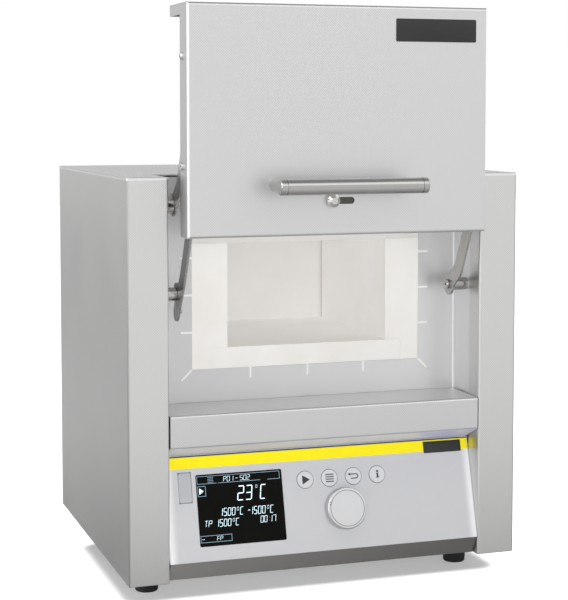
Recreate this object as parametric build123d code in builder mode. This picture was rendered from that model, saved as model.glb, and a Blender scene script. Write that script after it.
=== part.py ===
from build123d import *
from math import atan2, cos, degrees, hypot, radians, sin
import os

# Bench-top muffle furnace with a lift door: sheet casing, brick chamber and turned fittings.
#
# Millimetres.  X points right as seen from the front, Y to the rear and Z up.  The origin lies on
# the bench, in the middle between the handle of the raised door and the end of the flue stub.
# The door is modelled raised, at the top of its travel.

os.makedirs("parts", exist_ok=True)

# ---------------------------------------------------------------- chamber and brickwork
chamber_w = 162.0          # clear width between the heating plates
chamber_h = 100.0          # clear height
chamber_d = 156.0          # collar to rear brick
collar_d = 31.0            # collar bricks, front to back
collar_side = 35.0         # width of an upright collar brick
collar_rim = 20.0          # height of the sill brick
collar_top = 22.0          # height of the lintel brick
collar_tongue = 16.4       # how far the sill brick runs under an upright
heater_t = 12.0            # side heating plates
rear_brick_t = 25.0
groove = 1.6               # gap between a heating plate and the rear brick
joint = 0.2                # gap in the brickwork
insulation_side = 54.0
insulation_top = 26.0
insulation_rear = 30.0
shell_t = 1.0              # steel shell round the insulation
shell_drop = 6.0           # shell floor below the door sill

# ---------------------------------------------------------------- casing
sheet = 1.2                # casing sheet
bend_r = 2.2               # outside radius of a casing bend
plate_side = 37.9          # recessed front panel, beside the collar
pillar_w = 38.6            # front pillar beside the door
return_d = 22.0            # flange turned in behind a pillar
rear_flange = 14.0
hem_w = 10.0               # hem turned in under a side panel
head_h = 44.0              # chamber mouth to the top of the casing
sill_h = 154.6             # bottom of the casing to the door sill
collar_lift = 31.4         # door sill to the collar
recess_d = 61.4            # front of the casing to the recessed panel
rear_space = 81.6          # behind the chamber
foot_h = 24.0
foot_r = 12.0
foot_in = 32.5             # foot centre from the side of the casing
foot_back = 67.8           # foot centre from the front and from the rear
slot_l = 10.5              # expansion slots round the collar
slot_w = 2.0
slot_parts = 4             # the slots divide each side of the collar in as many parts

# ---------------------------------------------------------------- sill, hood and fascia
bar_h = 30.2               # upright front of the sill
hood_back = 25.0           # hood under the bar, depth and drop
hood_drop = 11.6
hood_tail = 18.0
tab_l = 12.5               # tab slots along the back of the sill
tab_in = 32.0
tab_mid = 2.0
fascia_t = 1.5
fascia_lean = 26.0         # top of the fascia behind its lower edge
fascia_rise = 94.0
strip_rise = 18.0          # lower strip of the fascia
strip_back = 10.0
end_gap = 0.8              # sill and fascia to the pillars

# ---------------------------------------------------------------- controls on the fascia
lcd_w = 83.4
lcd_h = 65.2
lcd_x = 71.5               # display centre from the left end of the fascia
lcd_up = 46.0              # display centre up the slope
lcd_t = 3.0
usb_w = 12.2
usb_h = 27.6
usb_t = 2.0
usb_pin_r = 0.5            # hinge pins in the sides of the cut-out
usb_pin_up = 0.9           # hinge above the lower end of the cover
usb_x = 19.0
usb_up = 67.8
key_r = 7.9
key_x = 136.3              # first key from the left end of the fascia
key_up = 67.0
key_pitch = 24.4
key_count = 4
key_proud = 1.2
key_travel = 0.8
dial_r = 19.7
dial_h = 9.0
dial_up = 37.4
dial_push = 0.8
spindle_r = 3.0
board_back = 11.0          # controller board behind the fascia face
board_t = 1.6
reveal = 0.35              # gap round what sits in a fascia cut-out

# ---------------------------------------------------------------- lift linkage
pivot_d = 34.5             # wall pivots behind the front of the casing
upper_drop = 27.1          # upper wall pivots below the top of the casing
arm_len = 86.4             # wall pivot to door pivot
arm_w = 15.6
arm_t = 2.0
arm_lug_r = 10.5
knee_len = 27.0            # wall pivot to the knee of an arm
knee_drop = 17.7           # degrees that the lower leg lies below the line of the pivots
open_deg = 54.7            # arm above the forward direction with the door up
closed_deg = 78.0          # arm below the forward direction with the door down
tail_len = 18.0            # tail of the left lower arm
stop_pin_r = 1.6
stop_pin_l = 4.0
pin_r = 4.0                # pivot shoulders
run_fit = 0.05             # radial clearance of a pivot
loose_fit = 0.6            # radial clearance at the upper door pivots
side_gap = 0.3             # washer gap beside an arm
arm_gap = 1.0              # between the planes of the upper and lower arms
stud_r = 6.2               # lower wall studs
upper_stud_r = 8.3
screw_head_r = 4.6
screw_head_t = 2.6

# ---------------------------------------------------------------- door
door_gap = 9.2             # door to pillar
door_r = 2.8               # outside radius of the folds round the door
flange_corner = 5.0        # lower rear corners of the side flanges
door_clear = 8.8           # closed door to the sill
door_sheet = 1.2
door_flange = 25.2         # side flanges of the pan
door_top_d = 60.5          # depth of the top flange
door_lip = 10.0
door_foot = 8.0            # flange along the lower edge of the pan
door_pin_up = 14.3         # lower door pivots above the lower edge of the door
tray_d = 27.6              # front of the door to the back of the inner tray
tray_gap = 2.0             # tray to the lower arms
plug_gap = 0.6             # closed plug to the collar
plug_side = 2.0            # plug inside the outline of the collar
plug_r = 6.0
flange_screw_back = 17.5
flange_bolt_r = 1.8
flange_screw_up = (63.6, 161.6)
handle_r = 7.25
handle_l = 141.0
handle_wall = 1.5
handle_off = 33.0          # handle axis in front of the door
handle_up = 46.0
handle_cap = 14.0          # solid ends of the handle, which carry its posts
handle_groove = 6.0        # groove from the end of the handle
handle_post_r = 6.0
handle_post_in = 7.6       # post from the end of the handle
handle_bolt_r = 2.5
slider_up = 31.6
slider_slot_l = 25.4
slider_slot_w = 6.4
slider_travel = 18.0
slider_knob_r = 6.0
slider_knob_h = 7.0
slider_plate_t = 1.0
inlet_r = 5.0              # air-inlet tube
inlet_wall = 1.2

# ---------------------------------------------------------------- services at the rear
flue_r = 10.0
flue_wall = 2.0
flue_x = 40.0              # flue from the middle of the chamber
flue_drop = 6.5            # axis of the flue below the chamber roof
flue_stub = 12.8           # stub behind its flange
flue_flange_r = 15.0
flue_flange_t = 1.2
probe_r = 5.5
probe_x = -9.0
probe_drop = 10.5          # thermocouple below the chamber roof
probe_in = 12.0            # probe tip inside the chamber
inlet_w = 47.0             # mains inlet
inlet_h = 27.0
switch_w = 22.0
switch_h = 30.0
service_rim = 1.6
inlet_deep = 24.0
switch_deep = 22.0
rocker_w = 17.0
rocker_r = 12.6
rear_side = 118.0          # mains inlet and switch from the middle
rear_up = 48.0
vent_l = 44.0
vent_w = 5.0
vent_pitch = 14.0
rocker_deg = 8.0

# ---------------------------------------------------------------- derived places
collar_half = chamber_w / 2 + collar_side
opening_half = collar_half + plate_side
case_half = opening_half + pillar_w
case_d = recess_d + collar_d + chamber_d + rear_space
forward = arm_len * (cos(radians(open_deg)) - cos(radians(closed_deg)))
front_reach = forward + handle_off + handle_r   # raised door and handle in front of the casing
rear_reach = flue_flange_t + flue_stub
front_y = -(case_d + rear_reach - front_reach) / 2
rear_y = front_y + case_d
middle_y = front_y + case_d / 2
base_z = foot_h
sill_z = base_z + sill_h
collar_z = sill_z + collar_lift
chamber_z = collar_z + collar_rim
roof_z = chamber_z + chamber_h
flue_z = roof_z - flue_drop
probe_z = roof_z - probe_drop
lintel_z = roof_z + collar_top
top_z = roof_z + collar_top + head_h
recess_y = front_y + recess_d
collar_back_y = recess_y + collar_d
chamber_back_y = collar_back_y + chamber_d
heater_half = chamber_w / 2 + heater_t
shell_half = heater_half + insulation_side
shell_z = sill_z - shell_drop
shell_top_z = lintel_z + insulation_top
shell_back_y = chamber_back_y + rear_brick_t + insulation_rear

wing_x = opening_half + sheet          # recess walls, behind the pillar flanges
bar_z = sill_z - bar_h
hood_z = bar_z - hood_drop
strip_z = base_z + strip_rise
fascia_top_z = strip_z + fascia_rise
fascia_half = opening_half - end_gap
slope_l = hypot(fascia_lean, fascia_rise)
slope_y = fascia_lean / slope_l
slope_z = fascia_rise / slope_l
fascia_plane = Plane(origin=(-opening_half, front_y, strip_z), x_dir=(1, 0, 0), z_dir=(0, -slope_z, slope_y))

door_half = opening_half - door_gap
door_shut_z = sill_z + door_clear
door_h = top_z - door_shut_z
rise = arm_len * (sin(radians(open_deg)) + sin(radians(closed_deg)))
door_y = front_y - forward
door_z = door_shut_z + rise
door_top_z = door_z + door_h

pivot_y = front_y + pivot_d
lower_pivot_z = door_shut_z + door_pin_up + arm_len * sin(radians(closed_deg))
upper_pivot_z = top_z - upper_drop
reach_y = -arm_len * cos(radians(open_deg))
reach_z = arm_len * sin(radians(open_deg))
pin_y = pivot_y + reach_y
lower_pin_z = lower_pivot_z + reach_z
upper_pin_z = upper_pivot_z + reach_z
knee_deg = open_deg - knee_drop
pan_in_x = door_half - door_sheet
upper_arm_x = pan_in_x - 2 * arm_t            # inner face of an upper arm
lower_arm_x = upper_arm_x - arm_gap - arm_t   # inner face of a lower arm
tray_half = lower_arm_x - tray_gap
plug_half = collar_half - plug_side
dial_x = key_x + 1.5 * key_pitch
handle_post_x = handle_l / 2 - handle_post_in
rest_slider_x = -slider_travel / 2
inlet_x = 4.0

ALONG = (Align.CENTER, Align.CENTER, Align.MIN)
LOW = (Align.MIN, Align.MIN, Align.MIN)


def save(shape, label):
    """Name a finished piece and write its STEP file."""
    shape.label = label
    export_step(shape, f"parts/{label}.step")


def block(x, y, z, mode=Mode.ADD):
    """Rectangular block between the two limits given for each axis."""
    with Locations((x[0], y[0], z[0])):
        Box(x[1] - x[0], y[1] - y[0], z[1] - z[0], align=LOW, mode=mode)


def rod_x(radius, x, y, z, mode=Mode.ADD):
    """Round bar along X between the limits x, on both sides of the middle."""
    for side in (-1, 1):
        with Locations(Plane(origin=(side * x[0], y, z), z_dir=(side, 0, 0))):
            Cylinder(radius, x[1] - x[0], align=ALONG, mode=mode)


def hex_socket(x, depth, radius, y, z):
    """Hexagon sockets cut from the heads at both sides, inward for a positive depth."""
    for side in (-1, 1):
        with BuildSketch(Plane.YZ.offset(side * x)) as socket:
            with Locations((y, z)):
                RegularPolygon(radius, 6)
        extrude(socket.sketch, amount=-side * depth, mode=Mode.SUBTRACT)


def rod_y(radius, x, y, z, mode=Mode.ADD):
    """Round bar along Y between the limits y."""
    with Locations(Plane(origin=(x, y[0], z), z_dir=(0, 1, 0))):
        Cylinder(radius, y[1] - y[0], align=ALONG, mode=mode)


# ================================================================ casing
with BuildPart() as side_right:
    with BuildSketch(Plane.XY.offset(base_z)):
        with BuildLine():
            FilletPolyline(
                (case_half - rear_flange, rear_y - sheet),
                (case_half, rear_y - sheet),
                (case_half, front_y),
                (opening_half, front_y),
                (opening_half, front_y + return_d),
                radius=bend_r,
            )
            offset(amount=sheet, side=Side.RIGHT)
        make_face()
    extrude(amount=top_z - base_z - sheet)
    block(
        (case_half - hem_w, case_half),
        (front_y + bend_r + sheet, rear_y - sheet - bend_r),
        (base_z, base_z + sheet),
    )
    fillet(side_right.edges().filter_by(Axis.Y).group_by(Axis.Z)[0].sort_by(Axis.X)[-1], sheet * 0.8)
save(side_right.part, "side_panel_right")
save(mirror(side_right.part, about=Plane.YZ), "side_panel_left")

with BuildPart() as top_cover:
    with BuildSketch(Plane.XY.offset(top_z - sheet)):
        with Locations((0, middle_y)):
            RectangleRounded(2 * case_half, case_d, bend_r)
        with Locations((0, front_y)):
            Rectangle(2 * opening_half, 2 * recess_d, mode=Mode.SUBTRACT)
    extrude(amount=sheet)
    fillet(top_cover.faces().sort_by(Axis.Z)[-1].outer_wire().edges(), sheet * 0.7)
    for side in (-1, 1):
        flange_x = side * (case_half - sheet - side_gap)
        block(
            sorted((flange_x, flange_x - side * sheet)),
            (front_y + return_d, rear_y - rear_flange),
            (top_z - sheet - hem_w, top_z - sheet),
        )
    block(
        (-case_half + rear_flange, case_half - rear_flange),
        (rear_y - 3 * sheet - side_gap, rear_y - 2 * sheet - side_gap),
        (top_z - sheet - hem_w, top_z - sheet),
    )
save(top_cover.part, "top_cover")

with BuildPart() as rear_cover:
    with BuildSketch(Plane.XZ.offset(-(rear_y - sheet))):
        with Locations((0, (base_z + top_z - sheet) / 2)):
            RectangleRounded(2 * case_half - 2, top_z - sheet - base_z, bend_r)
        with Locations((flue_x, flue_z)):
            Circle(flue_r + side_gap, mode=Mode.SUBTRACT)
        with Locations((-rear_side, base_z + rear_up)):
            Rectangle(inlet_w, inlet_h, mode=Mode.SUBTRACT)
        with Locations((rear_side, base_z + rear_up)):
            Rectangle(switch_w, switch_h, mode=Mode.SUBTRACT)
        for vent_z in (base_z + rear_up, top_z - rear_up):
            with Locations((0, vent_z)):
                with GridLocations(vent_l + vent_pitch, vent_pitch, 2, 3):
                    SlotOverall(vent_l, vent_w, mode=Mode.SUBTRACT)
    extrude(amount=-sheet)
save(rear_cover.part, "rear_cover")

base_half = case_half - sheet - side_gap
base_front_y = front_y + max(return_d, strip_back + hem_w) + joint
base_rear_y = rear_y - 2 * sheet - side_gap
with BuildPart() as base_plate:
    block((-base_half, base_half), (base_front_y, base_rear_y), (base_z + sheet, base_z + 2 * sheet))
    block((-base_half, base_half), (base_rear_y - sheet, base_rear_y), (base_z + sheet, base_z + hem_w))
    with Locations((0, middle_y, base_z + sheet)):
        with GridLocations(2 * (case_half - foot_in), case_d - 2 * foot_back, 2, 2):
            Cylinder(2.6, sheet, align=ALONG, mode=Mode.SUBTRACT)
    with BuildSketch(Plane.XY.offset(base_z + sheet)):
        with Locations((0, middle_y)):
            with GridLocations(vent_l + vent_pitch, vent_pitch, 3, 4):
                SlotOverall(vent_l, vent_w)
    extrude(amount=sheet, mode=Mode.SUBTRACT)
save(base_plate.part, "base_plate")

with BuildPart() as recess_panel:
    with BuildSketch(Plane.XY.offset(sill_z - hem_w)):
        with BuildLine():
            FilletPolyline(
                (-wing_x, front_y + 2 * sheet),
                (-wing_x, recess_y),
                (wing_x, recess_y),
                (wing_x, front_y + 2 * sheet),
                radius=bend_r,
            )
            offset(amount=sheet, side=Side.LEFT)
        make_face()
    extrude(amount=top_z - 2 * sheet - sill_z + hem_w)
    with BuildSketch(Plane.XZ.offset(-recess_y)):
        with Locations((0, (collar_z + lintel_z) / 2)):
            Rectangle(2 * (collar_half + joint), lintel_z - collar_z + 2 * joint)
        for row in range(1, slot_parts):
            slot_z = collar_z + (lintel_z - collar_z) * row / slot_parts
            slot_x = -collar_half + 2 * collar_half * row / slot_parts
            with Locations((-collar_half - slot_l / 2, slot_z), (collar_half + slot_l / 2, slot_z)):
                Rectangle(slot_l + 1, slot_w)
            with Locations((slot_x, collar_z - slot_l / 2), (slot_x, lintel_z + slot_l / 2)):
                Rectangle(slot_w, slot_l + 1)
        for side in (-1, 1):
            with Locations((side * (collar_half + slot_l / 2), collar_z - slot_l / 2)):
                Rectangle(1.4 * slot_l, slot_w, rotation=-45 * side)
            with Locations((side * (collar_half + slot_l / 2), lintel_z + slot_l / 2)):
                Rectangle(1.4 * slot_l, slot_w, rotation=45 * side)
    extrude(amount=-2 * sheet, mode=Mode.SUBTRACT)
    rod_x(pin_r + run_fit, (wing_x - sheet, wing_x + 2 * sheet), pivot_y, lower_pivot_z, Mode.SUBTRACT)
    rod_x(pin_r + run_fit, (wing_x - sheet, wing_x + 2 * sheet), pivot_y, upper_pivot_z, Mode.SUBTRACT)
save(recess_panel.part, "recess_panel")

with BuildPart() as sill:
    with BuildSketch(Plane.YZ.offset(-fascia_half)):
        with BuildLine():
            FilletPolyline(
                (recess_y - joint, sill_z - hem_w),
                (recess_y - joint, sill_z),
                (front_y, sill_z),
                (front_y, bar_z),
                (front_y + hood_back, hood_z),
                (front_y + hood_back + hood_tail, hood_z),
                radius=bend_r,
            )
            offset(amount=sheet, side=Side.LEFT)
        make_face()
    extrude(amount=2 * fascia_half)
    with BuildSketch(Plane.XY.offset(sill_z - 3)):
        with Locations((-opening_half + tab_in, recess_y - 2), (tab_mid, recess_y - 2)):
            Rectangle(tab_l, 1.0)
    extrude(amount=6, mode=Mode.SUBTRACT)
save(sill.part, "door_sill")

# ================================================================ fascia and controls
lcd_place = (lcd_x, lcd_up)
usb_place = (usb_x, usb_up)
key_places = [(key_x + key_pitch * i, key_up) for i in range(key_count)]
dial_place = (dial_x, dial_up)
hinge_at = fascia_plane.from_local_coords((usb_x, usb_up - usb_h / 2 + usb_pin_up, -fascia_t / 2))
hinge_place = Plane(hinge_at, (0, 0, 1), (1, 0, 0))


def usb_pin(half, radius, mode=Mode.ADD):
    """Round bar on the hinge line of the USB cover."""
    with Locations(hinge_place):
        Cylinder(radius, 2 * half, mode=mode)



with BuildPart() as fascia:
    with BuildSketch(Plane.YZ.offset(-fascia_half)):
        with BuildLine():
            FilletPolyline(
                (front_y + strip_back + hem_w, base_z),
                (front_y + strip_back, base_z),
                (front_y, strip_z),
                (front_y + fascia_lean, fascia_top_z),
                (front_y + fascia_lean + hem_w, fascia_top_z),
                radius=bend_r,
            )
            offset(amount=fascia_t, side=Side.RIGHT)
        make_face()
    extrude(amount=2 * fascia_half)
    with BuildSketch(fascia_plane.offset(1)):
        with Locations(lcd_place):
            RectangleRounded(lcd_w + 2 * reveal, lcd_h + 2 * reveal, 1.5)
        with Locations(usb_place):
            RectangleRounded(usb_w + 2 * reveal, usb_h + 2 * reveal, 0.6)
        with Locations(*key_places):
            Circle(key_r + reveal)
        with Locations(dial_place):
            Circle(spindle_r + 1)
    extrude(amount=-(fascia_t + 2), mode=Mode.SUBTRACT)
    usb_pin(usb_w / 2 + 1.1, usb_pin_r + run_fit, Mode.SUBTRACT)
save(fascia.part, "control_fascia")

with BuildPart() as display:
    with BuildSketch(fascia_plane.offset(0.2)):
        with Locations(lcd_place):
            RectangleRounded(lcd_w, lcd_h, 1.2)
    extrude(amount=-lcd_t)
    with BuildSketch(fascia_plane.offset(0.2 - lcd_t)):
        with Locations(lcd_place):
            Rectangle(lcd_w + 4, lcd_h + 4)
    extrude(amount=-(board_back - lcd_t - 0.4))
save(display.part, "display_module")

key_switch_h = 3.4
with BuildPart() as board:
    with BuildSketch(fascia_plane.offset(-board_back)):
        with Locations((opening_half + 2, slope_l / 2)):
            RectangleRounded(2 * opening_half - 32, slope_l - 22, 3)
    extrude(amount=-board_t)
    with BuildSketch(fascia_plane.offset(-board_back)):
        with Locations(*key_places):
            Rectangle(6.2, 6.2)
    extrude(amount=key_switch_h)
save(board.part, "controller_board")

key_names = ("start", "menu", "back", "info")
key_back = key_switch_h - board_back + key_travel + 0.3
for name, place in zip(key_names, key_places):
    with BuildPart() as key:
        with BuildSketch(fascia_plane.offset(key_back)):
            with Locations(place):
                Circle(2.2)
        extrude(amount=-key_back - fascia_t - 1)
        with BuildSketch(fascia_plane.offset(-fascia_t - 2.2)):
            with Locations(place):
                Circle(key_r + 1.2)
        extrude(amount=1.4)
        with BuildSketch(fascia_plane.offset(-fascia_t - 0.8)):
            with Locations(place):
                Circle(key_r)
        extrude(amount=fascia_t + 0.8 + key_proud)
        chamfer(key.edges().filter_by(GeomType.CIRCLE).sort_by(Axis.Y)[0], 0.4)
    save(key.part, f"key_{name}")

with BuildPart() as encoder:
    with BuildSketch(fascia_plane.offset(-board_back)):
        with Locations(dial_place):
            Rectangle(13, 13)
    extrude(amount=5.5)
    with BuildSketch(fascia_plane.offset(-board_back + 5.5)):
        with Locations(dial_place):
            Circle(spindle_r + 2)
    extrude(amount=2.2)
    with BuildSketch(fascia_plane.offset(-board_back + 1)):
        with Locations(dial_place):
            Circle(spindle_r + run_fit)
    extrude(amount=board_back, mode=Mode.SUBTRACT)
save(encoder.part, "dial_encoder")

with BuildPart() as spindle:
    with BuildSketch(fascia_plane.offset(-board_back + 1 + side_gap)):
        with Locations(dial_place):
            Circle(spindle_r)
    extrude(amount=board_back - 1 - side_gap + dial_h - 3.5)
save(spindle.part, "dial_spindle")

dial_gap = dial_push + 0.4
with BuildPart() as dial:
    with BuildSketch(fascia_plane.offset(dial_gap)):
        with Locations(dial_place):
            Circle(dial_r)
    extrude(amount=dial_h)
    fillet(dial.edges().filter_by(GeomType.CIRCLE).sort_by(Axis.Y)[0], 1.6)
    with BuildSketch(fascia_plane.offset(dial_gap + dial_h)):
        with Locations(dial_place):
            Circle(dial_r - 2.6)
            Circle(dial_r - 3.2, mode=Mode.SUBTRACT)
    extrude(amount=-0.8, mode=Mode.SUBTRACT)
    with BuildSketch(fascia_plane.offset(dial_gap)):
        with Locations(dial_place):
            Circle(dial_r - 1.8)
            Circle(spindle_r + 3, mode=Mode.SUBTRACT)
    extrude(amount=dial_h - 2.6, mode=Mode.SUBTRACT)
    with BuildSketch(fascia_plane.offset(dial_gap)):
        with Locations(dial_place):
            Circle(spindle_r + run_fit)
    extrude(amount=dial_h - 2.6, mode=Mode.SUBTRACT)
save(dial.part, "control_dial")

with BuildPart() as usb_flap:
    with BuildSketch(fascia_plane.offset(0.3 - usb_t)):
        with Locations(usb_place):
            RectangleRounded(usb_w, usb_h, 2.2)
    extrude(amount=usb_t)
    chamfer(usb_flap.faces().sort_by(Axis.Y)[0].outer_wire().edges(), 0.4)
    with BuildSketch(fascia_plane.offset(0.3)):
        with Locations((usb_x, usb_up + usb_h / 2 - 1.4)):
            SlotOverall(usb_w - 1, 2.0)
    extrude(amount=0.9)
    usb_pin(usb_w / 2 + 1.0, usb_pin_r)
save(usb_flap.part, "usb_flap")

with BuildPart() as usb_socket:
    with BuildSketch(fascia_plane.offset(-board_back)):
        with Locations((usb_x, usb_up)):
            Rectangle(7.2, 14.4)
            Rectangle(5.2, 12.4, mode=Mode.SUBTRACT)
    extrude(amount=board_back - usb_t - 1)
    with BuildSketch(fascia_plane.offset(-board_back)):
        with Locations((usb_x, usb_up)):
            Rectangle(7.2, 14.4)
    extrude(amount=1)
save(usb_socket.part, "usb_socket")

# ================================================================ chamber and insulation
sill_brick_half = chamber_w / 2 + collar_tongue
collar_y = (recess_y, collar_back_y)
with BuildPart() as collar_sill:
    block((-sill_brick_half, sill_brick_half), collar_y, (collar_z, chamber_z))
save(collar_sill.part, "collar_sill")

with BuildPart() as collar_uprights:
    block((chamber_w / 2, collar_half), collar_y, (collar_z, roof_z - joint))
    block(
        (chamber_w / 2 - 1, sill_brick_half + joint),
        (recess_y - 1, collar_back_y + 1),
        (collar_z - 1, chamber_z + joint),
        Mode.SUBTRACT,
    )
    mirror(about=Plane.YZ)
save(collar_uprights.part, "collar_uprights")

with BuildPart() as collar_lintel:
    block((-collar_half, collar_half), collar_y, (roof_z, lintel_z))
save(collar_lintel.part, "collar_lintel")

brick_y = (collar_back_y + joint, chamber_back_y)
with BuildPart() as heaters:
    block((chamber_w / 2, heater_half), (brick_y[0], chamber_back_y - groove), (chamber_z, roof_z))
    mirror(about=Plane.YZ)
save(heaters.part, "heating_plates")

with BuildPart() as chamber_floor:
    block((-heater_half, heater_half), brick_y, (collar_z, chamber_z - joint))
save(chamber_floor.part, "chamber_floor")

with BuildPart() as chamber_roof:
    block((-heater_half, heater_half), brick_y, (roof_z + joint, lintel_z))
save(chamber_roof.part, "chamber_roof")

with BuildPart() as rear_brick:
    block(
        (-heater_half, heater_half),
        (chamber_back_y + joint, chamber_back_y + rear_brick_t),
        (collar_z, lintel_z),
    )
    rod_y(flue_r - flue_wall, flue_x, (chamber_back_y - 1, shell_back_y), flue_z, Mode.SUBTRACT)
    rod_y(probe_r + joint, probe_x, (chamber_back_y - 1, shell_back_y), probe_z, Mode.SUBTRACT)
save(rear_brick.part, "rear_brick")

shell_in = shell_half - joint
with BuildPart() as front_board:
    block(
        (-shell_in, shell_in),
        (recess_y + sheet + joint, collar_back_y),
        (shell_z + shell_t, shell_top_z - joint),
    )
    block(
        (-collar_half - joint, collar_half + joint),
        (recess_y, collar_back_y + 1),
        (collar_z - joint, lintel_z + joint),
        Mode.SUBTRACT,
    )
save(front_board.part, "insulation_front")

wool_y = (collar_back_y + joint, shell_back_y - joint)
with BuildPart() as wool_sides:
    block((heater_half + joint, shell_in), wool_y, (collar_z, lintel_z))
    mirror(about=Plane.YZ)
save(wool_sides.part, "insulation_sides")

with BuildPart() as wool_top:
    block((-shell_in, shell_in), wool_y, (lintel_z + joint, shell_top_z - joint))
save(wool_top.part, "insulation_top")

with BuildPart() as wool_floor:
    block((-shell_in, shell_in), wool_y, (shell_z + shell_t, collar_z - joint))
save(wool_floor.part, "insulation_floor")

with BuildPart() as wool_rear:
    wool_back_y = (chamber_back_y + rear_brick_t + joint, wool_y[1])
    block((-heater_half, heater_half), wool_back_y, (collar_z, lintel_z))
    rod_y(flue_r + joint, flue_x, (chamber_back_y, shell_back_y + 1), flue_z, Mode.SUBTRACT)
    rod_y(probe_r + joint, probe_x, (chamber_back_y, shell_back_y + 1), probe_z, Mode.SUBTRACT)
save(wool_rear.part, "insulation_rear")

with BuildPart() as shell:
    block(
        (-shell_half - shell_t, shell_half + shell_t),
        (recess_y + sheet, shell_back_y + shell_t),
        (shell_z, shell_top_z + shell_t),
    )
    block((-shell_half, shell_half), (recess_y, shell_back_y), (shell_z + shell_t, shell_top_z), Mode.SUBTRACT)
    rod_y(flue_r + joint, flue_x, (shell_back_y - 1, shell_back_y + 2 * shell_t), flue_z, Mode.SUBTRACT)
    rod_y(probe_r + joint, probe_x, (shell_back_y - 1, shell_back_y + 2 * shell_t), probe_z, Mode.SUBTRACT)
save(shell.part, "insulation_shell")

with BuildPart() as flue:
    rod_y(flue_r - 0.4, flue_x, (chamber_back_y + rear_brick_t + joint, rear_y), flue_z)
    rod_y(flue_flange_r, flue_x, (rear_y, rear_y + flue_flange_t), flue_z)
    rod_y(flue_r, flue_x, (rear_y + flue_flange_t, rear_y + flue_flange_t + flue_stub), flue_z)
    rod_y(flue_r - flue_wall, flue_x, (chamber_back_y, rear_y + flue_stub + 5), flue_z, Mode.SUBTRACT)
save(flue.part, "flue_tube")

head_y = shell_back_y + shell_t
with BuildPart() as probe:
    rod_y(probe_r, probe_x, (chamber_back_y - probe_in, head_y), probe_z)
    chamfer(probe.edges().filter_by(GeomType.CIRCLE).sort_by(Axis.Y)[0], probe_r * 0.3)
    rod_y(probe_r + 5, probe_x, (head_y, head_y + 9), probe_z)
    rod_y(probe_r + 1, probe_x, (head_y + 9, head_y + 21), probe_z)
save(probe.part, "thermocouple")

# ================================================================ wall studs and arms
lower_x0 = lower_arm_x + arm_t + side_gap
upper_x0 = upper_arm_x + arm_t + side_gap
bracket_x = wing_x + sheet
with BuildPart() as studs:
    rod_x(stud_r, (lower_x0, wing_x), pivot_y, lower_pivot_z)
    rod_x(pin_r, (lower_arm_x - side_gap, lower_x0), pivot_y, lower_pivot_z)
    rod_x(upper_stud_r, (upper_x0, wing_x), pivot_y, upper_pivot_z)
    rod_x(pin_r, (upper_arm_x - side_gap, upper_x0), pivot_y, upper_pivot_z)
    rod_x(pin_r, (wing_x, bracket_x + 9), pivot_y, lower_pivot_z)
    rod_x(pin_r, (wing_x, bracket_x + 9), pivot_y, upper_pivot_z)
save(studs.part, "wall_studs")

bracket_t = 3.0
with BuildPart() as brackets:
    for side in (-1, 1):
        with BuildSketch(Plane.YZ.offset(side * bracket_x)):
            with Locations((pivot_y, (lower_pivot_z + upper_pivot_z) / 2)):
                SlotCenterToCenter(upper_pivot_z - lower_pivot_z, 30, rotation=90)
        extrude(amount=side * bracket_t)
        with BuildSketch(Plane.YZ.offset(side * (bracket_x + bracket_t))):
            with Locations((pivot_y, lower_pivot_z), (pivot_y, upper_pivot_z)):
                RegularPolygon(7.5, 6)
        extrude(amount=side * 5)
    rod_x(pin_r + run_fit, (bracket_x - 1, bracket_x + 12), pivot_y, lower_pivot_z, Mode.SUBTRACT)
    rod_x(pin_r + run_fit, (bracket_x - 1, bracket_x + 12), pivot_y, upper_pivot_z, Mode.SUBTRACT)
save(brackets.part, "stud_brackets")

with BuildPart() as wall_screws:
    for head_x, pivot_z in ((lower_arm_x, lower_pivot_z), (upper_arm_x, upper_pivot_z)):
        rod_x(screw_head_r, (head_x - side_gap - screw_head_t, head_x - side_gap), pivot_y, pivot_z)
    chamfer(wall_screws.edges().filter_by(GeomType.CIRCLE).group_by(SortBy.DISTANCE)[0], 0.9)
    for head_x, pivot_z in ((lower_arm_x, lower_pivot_z), (upper_arm_x, upper_pivot_z)):
        hex_socket(head_x - side_gap - screw_head_t, -1.3, 1.6, pivot_y, pivot_z)
save(wall_screws.part, "wall_pivot_screws")


def arm(x, pivot_z, hole_r, tail):
    """Dog-legged arm with its inner face at x, from its wall pivot to its door pivot."""
    way = 1 if x > 0 else -1
    knee = (pivot_y - knee_len * cos(radians(knee_deg)), pivot_z + knee_len * sin(radians(knee_deg)))
    tip = (pivot_y + reach_y, pivot_z + reach_z)
    start = (pivot_y + 2, pivot_z - tail) if tail else (pivot_y, pivot_z)
    with BuildPart() as blank:
        with BuildSketch(Plane.YZ.offset(x)):
            with BuildLine():
                FilletPolyline(start, knee, tip, radius=arm_w * 0.9)
                offset(amount=arm_w / 2)
            make_face()
            with Locations((pivot_y, pivot_z)):
                Circle(arm_lug_r)
            with Locations((pivot_y, pivot_z)):
                Circle(pin_r + run_fit, mode=Mode.SUBTRACT)
            with Locations(tip):
                Circle(hole_r, mode=Mode.SUBTRACT)
        extrude(amount=way * arm_t)
        if tail:
            with Locations(Plane(origin=(x, start[0], start[1] + 1), z_dir=(-way, 0, 0))):
                Cylinder(stop_pin_r, stop_pin_l, align=ALONG)
    return blank.part


save(arm(lower_arm_x, lower_pivot_z, pin_r + run_fit, 0), "lower_arm_right")
save(arm(-lower_arm_x, lower_pivot_z, pin_r + run_fit, tail_len), "lower_arm_left")
save(arm(upper_arm_x, upper_pivot_z, pin_r + loose_fit, 0), "upper_arm_right")
save(arm(-upper_arm_x, upper_pivot_z, pin_r + loose_fit, 0), "upper_arm_left")

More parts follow.
